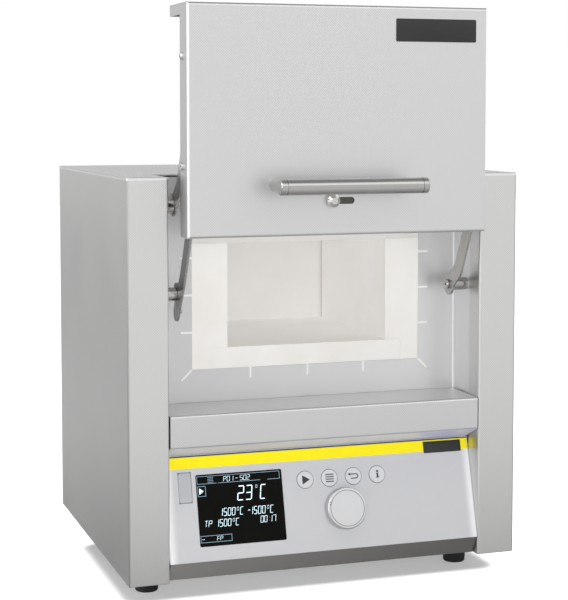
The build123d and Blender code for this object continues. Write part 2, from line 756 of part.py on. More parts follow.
# ================================================================ door
flange_end_y = (door_y + door_flange - 0.1, door_y + door_flange + 0.1)
with BuildPart() as pan:
    with BuildSketch(Plane.XZ.offset(-door_y)):
        with Locations((0, door_z + door_h / 2)):
            Rectangle(2 * door_half, door_h)
    extrude(amount=-door_flange)
    fillet(pan.faces().sort_by(Axis.Y)[0].outer_wire().edges(), door_r)
    offset(amount=-door_sheet, openings=pan.faces().sort_by(Axis.Y)[-1])
    with BuildSketch(Plane.XZ.offset(-(door_y + door_flange))):
        with Locations((0, door_top_z)):
            Rectangle(2 * door_half, door_lip, align=(Align.CENTER, Align.MAX))
        with Locations((0, door_top_z - door_sheet)):
            Rectangle(2 * pan_in_x, door_lip, align=(Align.CENTER, Align.MAX), mode=Mode.SUBTRACT)
    extrude(amount=-(door_top_d - door_flange))
    block(
        (-door_half, door_half),
        (door_y + door_top_d - door_sheet, door_y + door_top_d),
        (door_top_z - door_lip, door_top_z),
    )
    block(
        (-pan_in_x, pan_in_x),
        (door_y + door_foot, door_y + door_flange + 1),
        (door_z - 1, door_z + door_sheet + 1),
        Mode.SUBTRACT,
    )
    corners = pan.edges().filter_by(Axis.X).filter_by(lambda edge: edge.length < 2 * door_sheet)
    fillet(corners.filter_by_position(Axis.Y, *flange_end_y).group_by(Axis.Z)[0], flange_corner)
    with BuildSketch(Plane.XZ.offset(-door_y + 1)):
        with Locations((0, door_z + slider_up)):
            SlotOverall(slider_slot_l, slider_slot_w)
    extrude(amount=-door_sheet - 2, mode=Mode.SUBTRACT)
    for post_x in (-handle_post_x, handle_post_x):
        hole_y = (door_y - 1, door_y + door_sheet + 1)
        rod_y(handle_bolt_r + 0.1, post_x, hole_y, door_z + handle_up, Mode.SUBTRACT)
    for up in flange_screw_up:
        hole_x = (pan_in_x - 1, door_half + 1)
        rod_x(flange_bolt_r + 0.1, hole_x, door_y + flange_screw_back, door_z + up, Mode.SUBTRACT)
save(pan.part, "door_pan")

tray_y = (door_y + door_sheet, door_y + tray_d)
tray_z = (door_z + door_sheet + 2, door_top_z - door_sheet - 6)
with BuildPart() as tray:
    block((-tray_half, tray_half), tray_y, tray_z)
    block(
        (-tray_half + door_sheet, tray_half - door_sheet),
        (tray_y[0] - 1, tray_y[1] - door_sheet),
        (tray_z[0] + door_sheet, tray_z[1] - door_sheet),
        Mode.SUBTRACT,
    )
    rod_y(inlet_r + joint, inlet_x, (tray_y[0], tray_y[1] + 1), door_z + slider_up, Mode.SUBTRACT)
    rod_x(pin_r + 0.1, (tray_half - 2 * door_sheet, tray_half + 1), pin_y, lower_pin_z, Mode.SUBTRACT)
    rod_x(pin_r + 0.1, (tray_half - 2 * door_sheet, tray_half + 1), pin_y, upper_pin_z, Mode.SUBTRACT)
save(tray.part, "door_tray")

with BuildPart() as door_pins:
    for pin_x, pin_z in ((lower_arm_x, lower_pin_z), (upper_arm_x, upper_pin_z)):
        rod_x(pin_r, (tray_half - door_sheet - 3, pin_x + arm_t + side_gap), pin_y, pin_z)
        rod_x(pin_r + 2.5, (tray_half - door_sheet - 3, tray_half - door_sheet), pin_y, pin_z)
        rod_x(pin_r + 1.5, (tray_half, pin_x - side_gap), pin_y, pin_z)
        rod_x(pin_r + 1.5, (pin_x + arm_t + side_gap, pin_x + arm_t + side_gap + 1.2), pin_y, pin_z)
save(door_pins.part, "door_pivot_pins")

plug_z = (collar_z + plug_side + rise, lintel_z - plug_side + rise)
plug_back_y = door_y + recess_d - plug_gap
with BuildPart() as plug:
    block((-plug_half, plug_half), (tray_y[1], plug_back_y), plug_z)
    fillet(plug.faces().sort_by(Axis.Y)[-1].outer_wire().edges(), plug_r)
    rod_y(inlet_r + joint, inlet_x, (tray_y[0], plug_back_y + 1), door_z + slider_up, Mode.SUBTRACT)
save(plug.part, "door_plug")

fill_y = (tray_y[0] + 8, tray_y[1] - door_sheet)
with BuildPart() as door_fill:
    block(
        (-tray_half + 2 * door_sheet + 4, tray_half - 2 * door_sheet - 4),
        fill_y,
        (tray_z[0] + 2 * door_sheet, tray_z[1] - 2 * door_sheet),
    )
    rod_y(inlet_r + joint, inlet_x, (fill_y[0] - 1, fill_y[1] + 1), door_z + slider_up, Mode.SUBTRACT)
save(door_fill.part, "door_insulation")

slider_y = door_y + door_sheet + 0.2
guide_y = slider_y + slider_plate_t + 0.2
with BuildPart() as inlet_tube:
    rod_y(inlet_r, inlet_x, (guide_y + 1, plug_back_y), door_z + slider_up)
    rod_y(inlet_r - inlet_wall, inlet_x, (guide_y, plug_back_y + 1), door_z + slider_up, Mode.SUBTRACT)
save(inlet_tube.part, "air_inlet_tube")

with BuildPart() as guide:
    block((-45, 45), (door_y + door_sheet, guide_y + 1), (door_z + slider_up - 13, door_z + slider_up + 13))
    block((-50, 50), (door_y, guide_y), (door_z + slider_up - 8.3, door_z + slider_up + 8.3), Mode.SUBTRACT)
    rod_y(inlet_r - inlet_wall, inlet_x, (door_y, guide_y + 2), door_z + slider_up, Mode.SUBTRACT)
save(guide.part, "slider_guide")

with BuildPart() as slider:
    block(
        (rest_slider_x - 26, rest_slider_x + 34),
        (slider_y, slider_y + slider_plate_t),
        (door_z + slider_up - 8, door_z + slider_up + 8),
    )
    rod_y(inlet_r - inlet_wall, inlet_x - slider_travel, (door_y, guide_y), door_z + slider_up, Mode.SUBTRACT)
    rod_y(2.4, rest_slider_x, (door_y - 0.6, slider_y), door_z + slider_up)
    knob_y = door_y - 0.6
    with BuildSketch(Plane.XY.offset(door_z + slider_up)):
        with BuildLine():
            Polyline(
                (rest_slider_x, knob_y),
                (rest_slider_x + slider_knob_r - 0.6, knob_y),
                (rest_slider_x + slider_knob_r, knob_y - 0.6),
                (rest_slider_x + slider_knob_r, knob_y - 4.2),
                (rest_slider_x + slider_knob_r - 1.2, knob_y - 5.2),
                (rest_slider_x + slider_knob_r - 3.0, knob_y - slider_knob_h),
                (rest_slider_x, knob_y - slider_knob_h),
                close=True,
            )
        make_face()
    revolve(axis=Axis((rest_slider_x, knob_y, door_z + slider_up), (0, 1, 0)))
save(slider.part, "air_slider")

handle_z = door_z + handle_up
handle_y = door_y - handle_off
with BuildPart() as handle:
    with Locations(Plane(origin=(-handle_l / 2 + handle_cap, handle_y, handle_z), z_dir=(1, 0, 0))):
        Cylinder(handle_r, handle_l - 2 * handle_cap, align=ALONG)
        Cylinder(handle_r - handle_wall, handle_l - 2 * handle_cap, align=ALONG, mode=Mode.SUBTRACT)
save(handle.part, "handle_tube")

with BuildPart() as handle_ends:
    for side in (-1, 1):
        end_x = side * handle_l / 2
        edge_y = handle_y - handle_r
        with BuildSketch(Plane.XY.offset(handle_z)):
            with BuildLine():
                Polyline(
                    (end_x, handle_y),
                    (end_x, edge_y + 0.8),
                    (end_x - side * 0.8, edge_y),
                    (end_x - side * (handle_groove - 0.5), edge_y),
                    (end_x - side * (handle_groove - 0.5), edge_y + 0.6),
                    (end_x - side * (handle_groove + 0.5), edge_y + 0.6),
                    (end_x - side * (handle_groove + 0.5), edge_y),
                    (end_x - side * handle_cap, edge_y),
                    (end_x - side * handle_cap, edge_y + handle_wall + run_fit),
                    (end_x - side * (handle_cap + 14), edge_y + handle_wall + run_fit),
                    (end_x - side * (handle_cap + 14), handle_y),
                    close=True,
                )
            make_face()
        revolve(axis=Axis((0, handle_y, handle_z), (1, 0, 0)))
        rod_y(handle_post_r, side * handle_post_x, (handle_y, door_y), handle_z)
        rod_y(handle_bolt_r, side * handle_post_x, (door_y, door_y + door_sheet + 4), handle_z)
save(handle_ends.part, "handle_ends")

with BuildPart() as flange_screws:
    for up in flange_screw_up:
        rod_x(3.6, (door_half, door_half + 2.0), door_y + flange_screw_back, door_z + up)
    chamfer(flange_screws.edges().filter_by(GeomType.CIRCLE).group_by(SortBy.DISTANCE)[-1], 0.9)
    for up in flange_screw_up:
        hex_socket(door_half + 2.0, 1.1, 1.3, door_y + flange_screw_back, door_z + up)
        rod_x(flange_bolt_r, (pan_in_x - 0.6, door_half), door_y + flange_screw_back, door_z + up)
save(flange_screws.part, "flange_screws")

# ================================================================ electrics
with BuildPart() as inlet:
    with BuildSketch(Plane.XZ.offset(-rear_y)):
        with Locations((-rear_side, base_z + rear_up)):
            RectangleRounded(inlet_w + 4, inlet_h + 4, 2)
    extrude(amount=-service_rim)
    with BuildSketch(Plane.XZ.offset(-rear_y)):
        with Locations((-rear_side, base_z + rear_up)):
            Rectangle(inlet_w - 0.6, inlet_h - 0.6)
    extrude(amount=inlet_deep)
    with BuildSketch(Plane.XZ.offset(-rear_y - service_rim)):
        with Locations((-rear_side, base_z + rear_up)):
            RectangleRounded(24.4, 16.6, 3)
    extrude(amount=inlet_deep - 4, mode=Mode.SUBTRACT)
    with BuildSketch(Plane.XZ.offset(-rear_y + inlet_deep - 5)):
        for pin_x, pin_up in ((-7, -2), (0, 2), (7, -2)):
            with Locations((-rear_side + pin_x, base_z + rear_up + pin_up)):
                Rectangle(2, 4)
    extrude(amount=-(inlet_deep - 8))
save(inlet.part, "mains_inlet")

with BuildPart() as switch:
    with BuildSketch(Plane.XZ.offset(-rear_y)):
        with Locations((rear_side, base_z + rear_up)):
            RectangleRounded(switch_w + 4, switch_h + 4, 2)
    extrude(amount=-service_rim)
    with BuildSketch(Plane.XZ.offset(-rear_y)):
        with Locations((rear_side, base_z + rear_up)):
            Rectangle(switch_w - 0.6, switch_h - 0.6)
    extrude(amount=switch_deep)
    with BuildSketch(Plane.XZ.offset(-rear_y - service_rim)):
        with Locations((rear_side, base_z + rear_up)):
            Rectangle(rocker_w + 0.8, 2 * rocker_r + 0.8)
    extrude(amount=switch_deep - 6, mode=Mode.SUBTRACT)
save(switch.part, "mains_switch")

rocker_y = rear_y - 1
rocker_z = base_z + rear_up
dish = rocker_r * sin(radians(rocker_deg))
with BuildPart() as rocker:
    with BuildSketch(Plane.YZ.offset(rear_side - rocker_w / 2)):
        with Locations((rocker_y, rocker_z)):
            Circle(rocker_r)
        with BuildLine():
            Polyline(
                (rocker_y - 5, rocker_z + 20),
                (rocker_y - 5, rocker_z - 20),
                (rocker_y - 20, rocker_z - 20),
                (rocker_y - 20, rocker_z + 20),
                close=True,
            )
        make_face(mode=Mode.SUBTRACT)
        with BuildLine():
            Polyline(
                (rocker_y + 3, rocker_z),
                (rocker_y + 3 + dish, rocker_z + rocker_r),
                (rocker_y + 20, rocker_z + rocker_r),
                (rocker_y + 20, rocker_z - rocker_r),
                (rocker_y + 3 + dish, rocker_z - rocker_r),
                close=True,
            )
        make_face(mode=Mode.SUBTRACT)
    extrude(amount=rocker_w)
tilted = rocker.part.rotate(Axis((0, rocker_y, rocker_z), (1, 0, 0)), rocker_deg)
save(tilted, "switch_rocker")

with BuildPart() as relay:
    block((30, 75), (front_y + 150, front_y + 207), (base_z + 28, base_z + 50))
save(relay.part, "power_relay")

sink_y = (front_y + 140, front_y + 217)
with BuildPart() as sink:
    block((20, 85), sink_y, (base_z + 21, base_z + 28))
    for fin in range(6):
        fin_x = 20 + 12.5 * fin
        block((fin_x, fin_x + 2.5), sink_y, (base_z + 2 * sheet, base_z + 22))
save(sink.part, "relay_heat_sink")

with BuildPart() as terminals:
    block((-90, -30), (front_y + 150, front_y + 172), (base_z + 2 * sheet, base_z + 24))
save(terminals.part, "terminal_block")

# ================================================================ feet and screws
foot_grid = (2 * (case_half - foot_in), case_d - 2 * foot_back)
with BuildPart() as feet:
    with Locations((0, middle_y)):
        with GridLocations(*foot_grid, 2, 2):
            Cone(foot_r - 1.2, foot_r, foot_h + sheet, align=ALONG)
            Cylinder(4.5, 6, align=ALONG, mode=Mode.SUBTRACT)
            Cylinder(2.6, foot_h + sheet, align=ALONG, mode=Mode.SUBTRACT)
    chamfer(feet.edges().filter_by(GeomType.CIRCLE).group_by(Axis.Z)[0].sort_by(SortBy.RADIUS)[-4:], 0.8)
save(feet.part, "feet")

with BuildPart() as foot_screws:
    with Locations((0, middle_y, 3)):
        with GridLocations(*foot_grid, 2, 2):
            Cylinder(4.2, 3, align=ALONG)
            Cylinder(2.4, foot_h + 3 * sheet + 2 - 3, align=ALONG)
save(foot_screws.part, "foot_screws")
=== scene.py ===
from math import cos, pi, radians, sin

import bpy
from mathutils import Matrix, Vector


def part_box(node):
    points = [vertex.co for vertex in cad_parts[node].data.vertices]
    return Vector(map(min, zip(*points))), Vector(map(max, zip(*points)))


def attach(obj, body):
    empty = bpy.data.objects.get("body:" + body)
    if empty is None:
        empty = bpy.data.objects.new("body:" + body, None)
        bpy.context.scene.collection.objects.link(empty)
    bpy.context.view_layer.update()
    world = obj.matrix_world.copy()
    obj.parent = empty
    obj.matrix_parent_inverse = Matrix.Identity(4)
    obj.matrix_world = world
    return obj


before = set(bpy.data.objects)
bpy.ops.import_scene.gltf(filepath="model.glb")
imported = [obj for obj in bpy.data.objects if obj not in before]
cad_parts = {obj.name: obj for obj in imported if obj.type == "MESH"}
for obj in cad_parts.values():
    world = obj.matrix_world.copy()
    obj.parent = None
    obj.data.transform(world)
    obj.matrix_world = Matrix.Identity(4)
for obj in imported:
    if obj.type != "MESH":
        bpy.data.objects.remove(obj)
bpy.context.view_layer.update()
MM = 0.001


# ---------------------------------------------------------------- places taken from the parts in model.glb
casing_low, casing_high = (Vector(corner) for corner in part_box("side_panel_right"))
cover_low, cover_high = (Vector(corner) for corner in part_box("rear_cover"))
door_low, door_high = (Vector(corner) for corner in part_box("door_pan"))
fascia_low, fascia_high = (Vector(corner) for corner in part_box("control_fascia"))
hood_drop = 11.6 * MM
bar_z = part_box("door_sill")[0][2] + hood_drop
mouth_half = 81.0 * MM                  # half the chamber's clear width
collar_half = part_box("collar_uprights")[1][0]
collar_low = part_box("collar_sill")[0][2]
collar_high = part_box("collar_lintel")[1][2]
fibre_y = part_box("insulation_front")[0][1]
front_y = casing_low.y

# The fascia leans back above its lower strip.
strip_rise = 18.0 * MM
lean = 26.0 * MM
rise = 94.0 * MM
slope = Vector((0, lean, rise)).normalized()
outward = Vector((0, -rise, lean)).normalized()
strip_z = fascia_low.z + strip_rise
fascia_left = fascia_low.x - 0.8 * MM   # where the flat drawing starts


def fascia_place(x, up, out=0.0):
    """Matrix from a flat drawing, in metres, to a place on the fascia, given in millimetres."""
    turn = Matrix((Vector((1, 0, 0)), slope, outward)).transposed().to_4x4()
    corner = Vector((fascia_left, front_y, strip_z))
    spot = corner + Vector((x * MM, 0, 0)) + slope * up * MM + outward * out * MM
    return Matrix.Translation(spot) @ turn


# ---------------------------------------------------------------- modelling helpers
def shift(x, y, z):
    return Matrix.Translation((x, y, z))


def spin(angle, axis="Z"):
    return Matrix.Rotation(angle, 4, axis)


def pick_none():
    bpy.ops.object.select_all(action="DESELECT")


def pick(piece):
    pick_none()
    piece.select_set(True)
    bpy.context.view_layer.objects.active = piece


def named(name):
    """The piece just added, with its name set."""
    piece = bpy.context.active_object
    piece.name = name
    piece.data.name = name
    return piece


def lay(piece, matrix):
    """Moves the mesh itself, so that the piece stays at the origin."""
    piece.data.transform(matrix @ piece.matrix_basis)
    piece.matrix_basis = Matrix.Identity(4)
    piece.data.update()
    return piece


def copy_of(piece, name, matrix):
    twin = piece.copy()
    twin.data = piece.data.copy()
    twin.name = name
    twin.data.name = name
    bpy.context.collection.objects.link(twin)
    return lay(twin, matrix)


def joined(pieces, name):
    pick_none()
    for piece in pieces:
        piece.select_set(True)
    bpy.context.view_layer.objects.active = pieces[0]
    bpy.ops.object.join()
    return named(name)


def rounded(piece, width, segments=2, angle=30):
    """Rounds the edges of a piece with an applied bevel."""
    pick(piece)
    bevel = piece.modifiers.new("bevel", "BEVEL")
    bevel.width = width
    bevel.segments = segments
    bevel.limit_method = "ANGLE"
    bevel.angle_limit = radians(angle)
    bpy.ops.object.modifier_apply(modifier=bevel.name)
    bpy.ops.object.shade_smooth_by_angle(angle=radians(35))
    return piece


def slab(name, size, corner=0.0, top=0.0):
    """Flat plate standing on the drawing plane, with rounded corners and a rounded upper edge."""
    pick_none()
    bpy.ops.mesh.primitive_cube_add(size=1, location=(0, 0, size[2] / 2), scale=size)
    plate = named(name)
    lay(plate, Matrix.Identity(4))
    if corner:
        pick(plate)
        bpy.ops.object.mode_set(mode="EDIT")
        bpy.ops.mesh.select_mode(type="EDGE")
        bpy.ops.mesh.select_all(action="DESELECT")
        bpy.ops.object.mode_set(mode="OBJECT")
        for edge in plate.data.edges:
            a, b = (plate.data.vertices[i].co for i in edge.vertices)
            edge.select = abs(a.z - b.z) > size[2] / 2
        bpy.ops.object.mode_set(mode="EDIT")
        bpy.ops.mesh.bevel(offset=corner, segments=4, affect="EDGES")
        bpy.ops.object.mode_set(mode="OBJECT")
    if top:
        rounded(plate, top)
    return plate


def ring(name, outer, inner, height, steps=48):
    """Flat ring standing on the drawing plane."""
    pick_none()
    bpy.ops.mesh.primitive_circle_add(vertices=steps, radius=outer, fill_type="NGON")
    band = named(name)
    bpy.ops.object.mode_set(mode="EDIT")
    bpy.ops.mesh.select_all(action="SELECT")
    bpy.ops.mesh.inset(thickness=outer - inner)
    bpy.ops.mesh.delete(type="FACE")
    bpy.ops.mesh.select_all(action="SELECT")
    bpy.ops.mesh.extrude_region_move(TRANSFORM_OT_translate={"value": (0, 0, height)})
    bpy.ops.mesh.select_all(action="SELECT")
    bpy.ops.mesh.normals_make_consistent(inside=False)
    bpy.ops.object.mode_set(mode="OBJECT")
    return band


# ---------------------------------------------------------------- finishes
class Graph:
    """Nodes of one tree, with the arithmetic that the finishes, the floor and the studio share."""

    def __init__(self, tree):
        self.nodes = tree.nodes
        self.links = tree.links

    def wire(self, value, socket):
        if isinstance(value, bpy.types.NodeSocket):
            self.links.new(value, socket)
        else:
            socket.default_value = value

    def output(self, kind, socket):
        return self.nodes.new(kind).outputs[socket]

    def part(self, vector, letter):
        """One part of a vector."""
        node = self.nodes.new("ShaderNodeSeparateXYZ")
        self.links.new(vector, node.inputs[0])
        return node.outputs[letter]

    def math(self, operation, a, b=0.0, c=0.0):
        node = self.nodes.new("ShaderNodeMath")
        node.operation = operation
        for value, socket in zip((a, b, c), node.inputs):
            self.wire(value, socket)
        return node.outputs[0]

    def ramp(self, value, low, high, start=0.0, end=1.0, smooth=False):
        """Maps a value between start and end to a number between low and high."""
        node = self.nodes.new("ShaderNodeMapRange")
        node.interpolation_type = "SMOOTHSTEP" if smooth else "LINEAR"
        for limit, socket in zip((start, end, low, high), ("From Min", "From Max", "To Min", "To Max")):
            self.wire(limit, node.inputs[socket])
        self.links.new(value, node.inputs["Value"])
        return node.outputs[0]

    def mixed(self, amount, a, b):
        node = self.nodes.new("ShaderNodeMix")
        node.data_type = "RGBA"
        colours = [socket for socket in node.inputs if socket.type == "RGBA"]
        self.wire(amount, node.inputs[0])
        for value, socket in zip((a, b), colours):
            self.wire(value if isinstance(value, bpy.types.NodeSocket) else (*value, 1), socket)
        return next(socket for socket in node.outputs if socket.type == "RGBA")


class Finish(Graph):
    """A material that is being built, with its shader and the coordinates of the piece."""

    def __init__(self, name, colour, roughness, metallic=0.0, **sockets):
        self.material = bpy.data.materials.new(name)
        self.material.use_nodes = True
        super().__init__(self.material.node_tree)
        self.shader = self.nodes["Principled BSDF"]
        self.set("Base Color", (*colour, 1))
        self.set("Roughness", roughness)
        self.set("Metallic", metallic)
        for socket, value in sockets.items():
            self.set(socket.replace("_", " "), value)
        self.place = self.output("ShaderNodeTexCoord", "Object")

    def set(self, socket, value):
        self.shader.inputs[socket].default_value = value

    def axis(self, letter):
        """One coordinate of the piece, in metres."""
        return self.part(self.place, letter)

    def noise(self, scale, detail=3.0, roughness=0.5, stretch=None):
        node = self.nodes.new("ShaderNodeTexNoise")
        node.inputs["Scale"].default_value = scale
        node.inputs["Detail"].default_value = detail
        node.inputs["Roughness"].default_value = roughness
        place = self.place
        if stretch:
            mapping = self.nodes.new("ShaderNodeMapping")
            mapping.inputs["Scale"].default_value = stretch
            self.links.new(place, mapping.inputs["Vector"])
            place = mapping.outputs[0]
        self.links.new(place, node.inputs["Vector"])
        return node.outputs["Fac"]

    def band(self, value, low, high, soft=0.0001):
        """One inside the band from low to high, and nought outside."""
        up = self.ramp(value, 0.0, 1.0, low - soft, low + soft)
        down = self.ramp(value, 1.0, 0.0, high - soft, high + soft)
        return self.math("MULTIPLY", up, down)

    def colour(self, value):
        self.links.new(value, self.shader.inputs["Base Color"])

    def rough(self, value):
        self.links.new(value, self.shader.inputs["Roughness"])

    def bump(self, height, distance, strength=1.0):
        node = self.nodes.new("ShaderNodeBump")
        node.inputs["Distance"].default_value = distance
        node.inputs["Strength"].default_value = strength
        self.links.new(height, node.inputs["Height"])
        self.links.new(node.outputs[0], self.shader.inputs["Normal"])


weave = 2.3 * MM                        # period of the linen pattern
hood_tone = (0.70, 0.72, 0.95)


def linen_steel(name, tone, matt_below=None, fold=None, painted_fold_tone=0.99, painted_top_tone=0.99):
    """Stainless sheet with a fine rolled linen pattern.

    Below one height it can turn matt, and outside a box, given by its half width, front and top,
    the outer radius of an upright fold and the top edge take painted tones of their own: a painted
    highlight where lighter than the sheet, painted shade where darker.
    """
    finish = Finish(name, tone, 0.36, 1.0)
    turns = 2 * pi / weave
    flat = finish.math("ADD", finish.axis("X"), finish.axis("Y"))
    across = finish.math("SINE", finish.math("MULTIPLY", flat, turns))
    upward = finish.math("COSINE", finish.math("MULTIPLY", finish.axis("Z"), turns))
    linen = finish.math("MULTIPLY", across, upward)
    cloud = finish.noise(7.0, 2.0)
    light = tuple(min(1.0, part * 1.09) for part in tone)
    dark = tuple(part * 0.90 for part in tone)
    colour = finish.mixed(finish.ramp(linen, 0.0, 1.0, -0.8, 0.8), dark, light)
    if fold:
        half, front, top = fold
        side = finish.math("ABSOLUTE", finish.axis("X"))
        beside = finish.ramp(side, 0.0, 1.0, half - 2.0 * MM, half - 0.8 * MM)
        ahead = finish.ramp(finish.axis("Y"), 1.0, 0.0, front + 0.8 * MM, front + 2.0 * MM)
        above = finish.ramp(finish.axis("Z"), 0.0, 1.0, top - 1.8 * MM, top - 1.0 * MM)
        # Painted highlight and painted shade: the fold's outer radius and the top edge take the given tones.
        colour = finish.mixed(finish.math("MULTIPLY", beside, ahead), colour, (painted_fold_tone,) * 3)
        colour = finish.mixed(above, colour, (painted_top_tone,) * 3)
    if matt_below is not None:
        shiny = finish.ramp(finish.axis("Z"), 0.0, 1.0, matt_below - 0.2 * MM, matt_below)
        colour = finish.mixed(shiny, hood_tone, colour)
        finish.links.new(shiny, finish.shader.inputs["Metallic"])
    finish.colour(colour)
    finish.rough(finish.ramp(cloud, 0.33, 0.42, 0.3, 0.7))
    finish.bump(linen, 0.00005, 0.5)
    return finish.material


def brushed_steel(name, tone, roughness, stretch=(4, 300, 300), grain=0.05):
    """Sheet or bar with a drawn grain along one axis."""
    finish = Finish(name, tone, roughness, 1.0)
    lines = finish.noise(6.0, 4.0, 0.6, stretch)
    light = tuple(min(1.0, part * (1 + grain)) for part in tone)
    dark = tuple(part * (1 - grain) for part in tone)
    finish.colour(finish.mixed(lines, dark, light))
    finish.rough(finish.ramp(lines, roughness - 0.06, roughness + 0.08, 0.3, 0.7))
    finish.bump(lines, 0.00003, 0.4)
    return finish.material


def recess_steel():
    """Pickled sheet of the recess, with painted light that makes it lighter towards its right-hand side."""
    finish = Finish("recess_steel", (0.65, 0.65, 0.657), 0.32, 0.65)
    cloud = finish.noise(7.0, 2.0)
    # Painted light: the sheet's colour turns lighter towards the right-hand side.
    across = finish.ramp(finish.axis("X"), 0.0, 1.0, -0.13, 0.16)
    sheet = finish.mixed(across, (0.61, 0.61, 0.617), (0.75, 0.75, 0.757))
    finish.colour(finish.mixed(finish.ramp(cloud, 0.0, 0.12), sheet, (0.55, 0.55, 0.56)))
    finish.rough(finish.ramp(cloud, 0.28, 0.36, 0.3, 0.7))
    return finish.material


def slider_steel():
    """Turned knob in front of the door; behind the door's front the plate is coloured nearly black."""
    finish = Finish("slider_steel", (0.62, 0.61, 0.60), 0.15, 1.0)
    lines = finish.noise(6.0, 4.0, 0.6, (40, 900, 40))
    knob = finish.mixed(lines, (0.58, 0.57, 0.56), (0.66, 0.65, 0.64))
    behind = finish.ramp(finish.axis("Y"), 0.0, 1.0, door_low.y, door_low.y + 0.6 * MM)
    finish.colour(finish.mixed(behind, knob, (0.09, 0.088, 0.08)))
    finish.rough(finish.ramp(lines, 0.12, 0.22))
    return finish.material


def white_brick(name, tone, painted_shade_outside=None):
    """Pressed ceramic fibre, with faint clouds and pores, and painted shade in the joint beside the chamber.
    """
    finish = Finish(name, tone, 0.95)
    cloud = finish.noise(14.0, 5.0, 0.6)
    pores = finish.noise(900.0, 3.0, 0.7)
    warm = tuple(part * shade for part, shade in zip(tone, (0.95, 0.935, 0.915)))
    mottled = finish.mixed(finish.ramp(cloud, 0.0, 1.0, 0.35, 0.7), tone, warm)
    shaded = tuple(part * 0.93 for part in tone)
    colour = finish.mixed(finish.ramp(pores, 1.0, 0.0, 0.3, 0.42), mottled, shaded)
    if painted_shade_outside:
        # Painted shade: beyond the given half width the brick is coloured nearly black, for the shade in the
        # gap beside the heating plates.
        beside = finish.math("ABSOLUTE", finish.axis("X"))
        joint = finish.ramp(beside, 0.0, 1.0, painted_shade_outside + 0.2 * MM, painted_shade_outside + 0.5 * MM)
        colour = finish.mixed(joint, colour, (0.08, 0.075, 0.07))
    finish.colour(colour)
    finish.bump(pores, 0.0003, 0.35)
    return finish.material


def plastic(name, tone, roughness, grain=0.03, **sockets):
    """Moulded plastic or rubber with a fine eroded skin."""
    finish = Finish(name, tone, roughness, **sockets)
    skin = finish.noise(1500.0, 2.0)
    light = tuple(min(1.0, part * (1 + grain) + 0.003) for part in tone)
    finish.colour(finish.mixed(skin, tone, light))
    finish.rough(finish.ramp(finish.noise(60.0, 2.0), roughness - 0.04, roughness + 0.05))
    finish.bump(skin, 0.00004, 0.4)
    return finish.material


def fascia_paint():
    """Silver-grey coated sheet with a yellow stripe under its upper edge, a painted shadow line above the
    stripe, painted highlights towards its side edges and painted shade on the lower strip.
    """
    silver = (0.61, 0.612, 0.63)
    yellow = (1.0, 0.86, 0.0)
    finish = Finish("fascia_paint", silver, 0.38, 0.0, Specular_IOR_Level=0.5)
    stripe_low, stripe_high, shadow_line_high = 85.2 * MM, 95.8 * MM, 97.0 * MM
    up = finish.axis("Z")
    fleck = finish.noise(2600.0, 1.0)
    base = finish.mixed(finish.ramp(fleck, 0.0, 1.0, 0.35, 0.65), (0.575, 0.577, 0.592), silver)
    # Painted highlight: the paint turns lighter towards both side edges.
    side = finish.math("ABSOLUTE", finish.axis("X"))
    edge_highlight_start, edge_highlight_end = fascia_high.x - 9.0 * MM, fascia_high.x - 1.0 * MM
    edge = finish.ramp(side, 0.0, 0.75, edge_highlight_start, edge_highlight_end, smooth=True)
    base = finish.mixed(edge, base, (0.95, 0.95, 0.97))
    # Painted shade: the lower strip is dark grey, darker towards the right.
    lower = finish.band(up, -1.0, strip_z - 0.3 * MM)
    across = finish.ramp(finish.axis("X"), 0.0, 1.0, fascia_low.x, fascia_high.x)
    strip = finish.mixed(across, (0.225, 0.22, 0.21), (0.12, 0.117, 0.11))
    base = finish.mixed(lower, base, strip)
    stripe = finish.band(up, strip_z + stripe_low * slope.z, strip_z + stripe_high * slope.z)
    base = finish.mixed(stripe, base, yellow)
    # Painted shadow: a thin dark line above the yellow stripe stands for the gap under the hood.
    shadow_line = finish.band(up, strip_z + stripe_high * slope.z, strip_z + shadow_line_high * slope.z)
    base = finish.mixed(shadow_line, base, (0.05, 0.055, 0.09))
    finish.colour(base)
    finish.rough(finish.ramp(finish.noise(25.0, 2.0), 0.34, 0.42))
    finish.bump(fleck, 0.00003, 0.3)
    return finish.material


def glass_black(name):
    """Dark display window."""
    finish = Finish(name, (0.004, 0.004, 0.004), 0.22, 0.0, Specular_IOR_Level=0.04)
    haze = finish.noise(40.0, 2.0)
    finish.colour(finish.mixed(haze, (0.004, 0.004, 0.0036), (0.006, 0.006, 0.0056)))
    finish.rough(finish.ramp(haze, 0.18, 0.26))
    return finish.material


def lit(name, tone, strength):
    """Lit segments of the display."""
    finish = Finish(name, tone, 0.4)
    glow = finish.noise(900.0, 1.0)
    shade = tuple(part * 0.85 for part in tone)
    mix = finish.mixed(glow, shade, tone)
    finish.colour(mix)
    finish.links.new(mix, finish.shader.inputs["Emission Color"])
    finish.set("Emission Strength", strength)
    return finish.material
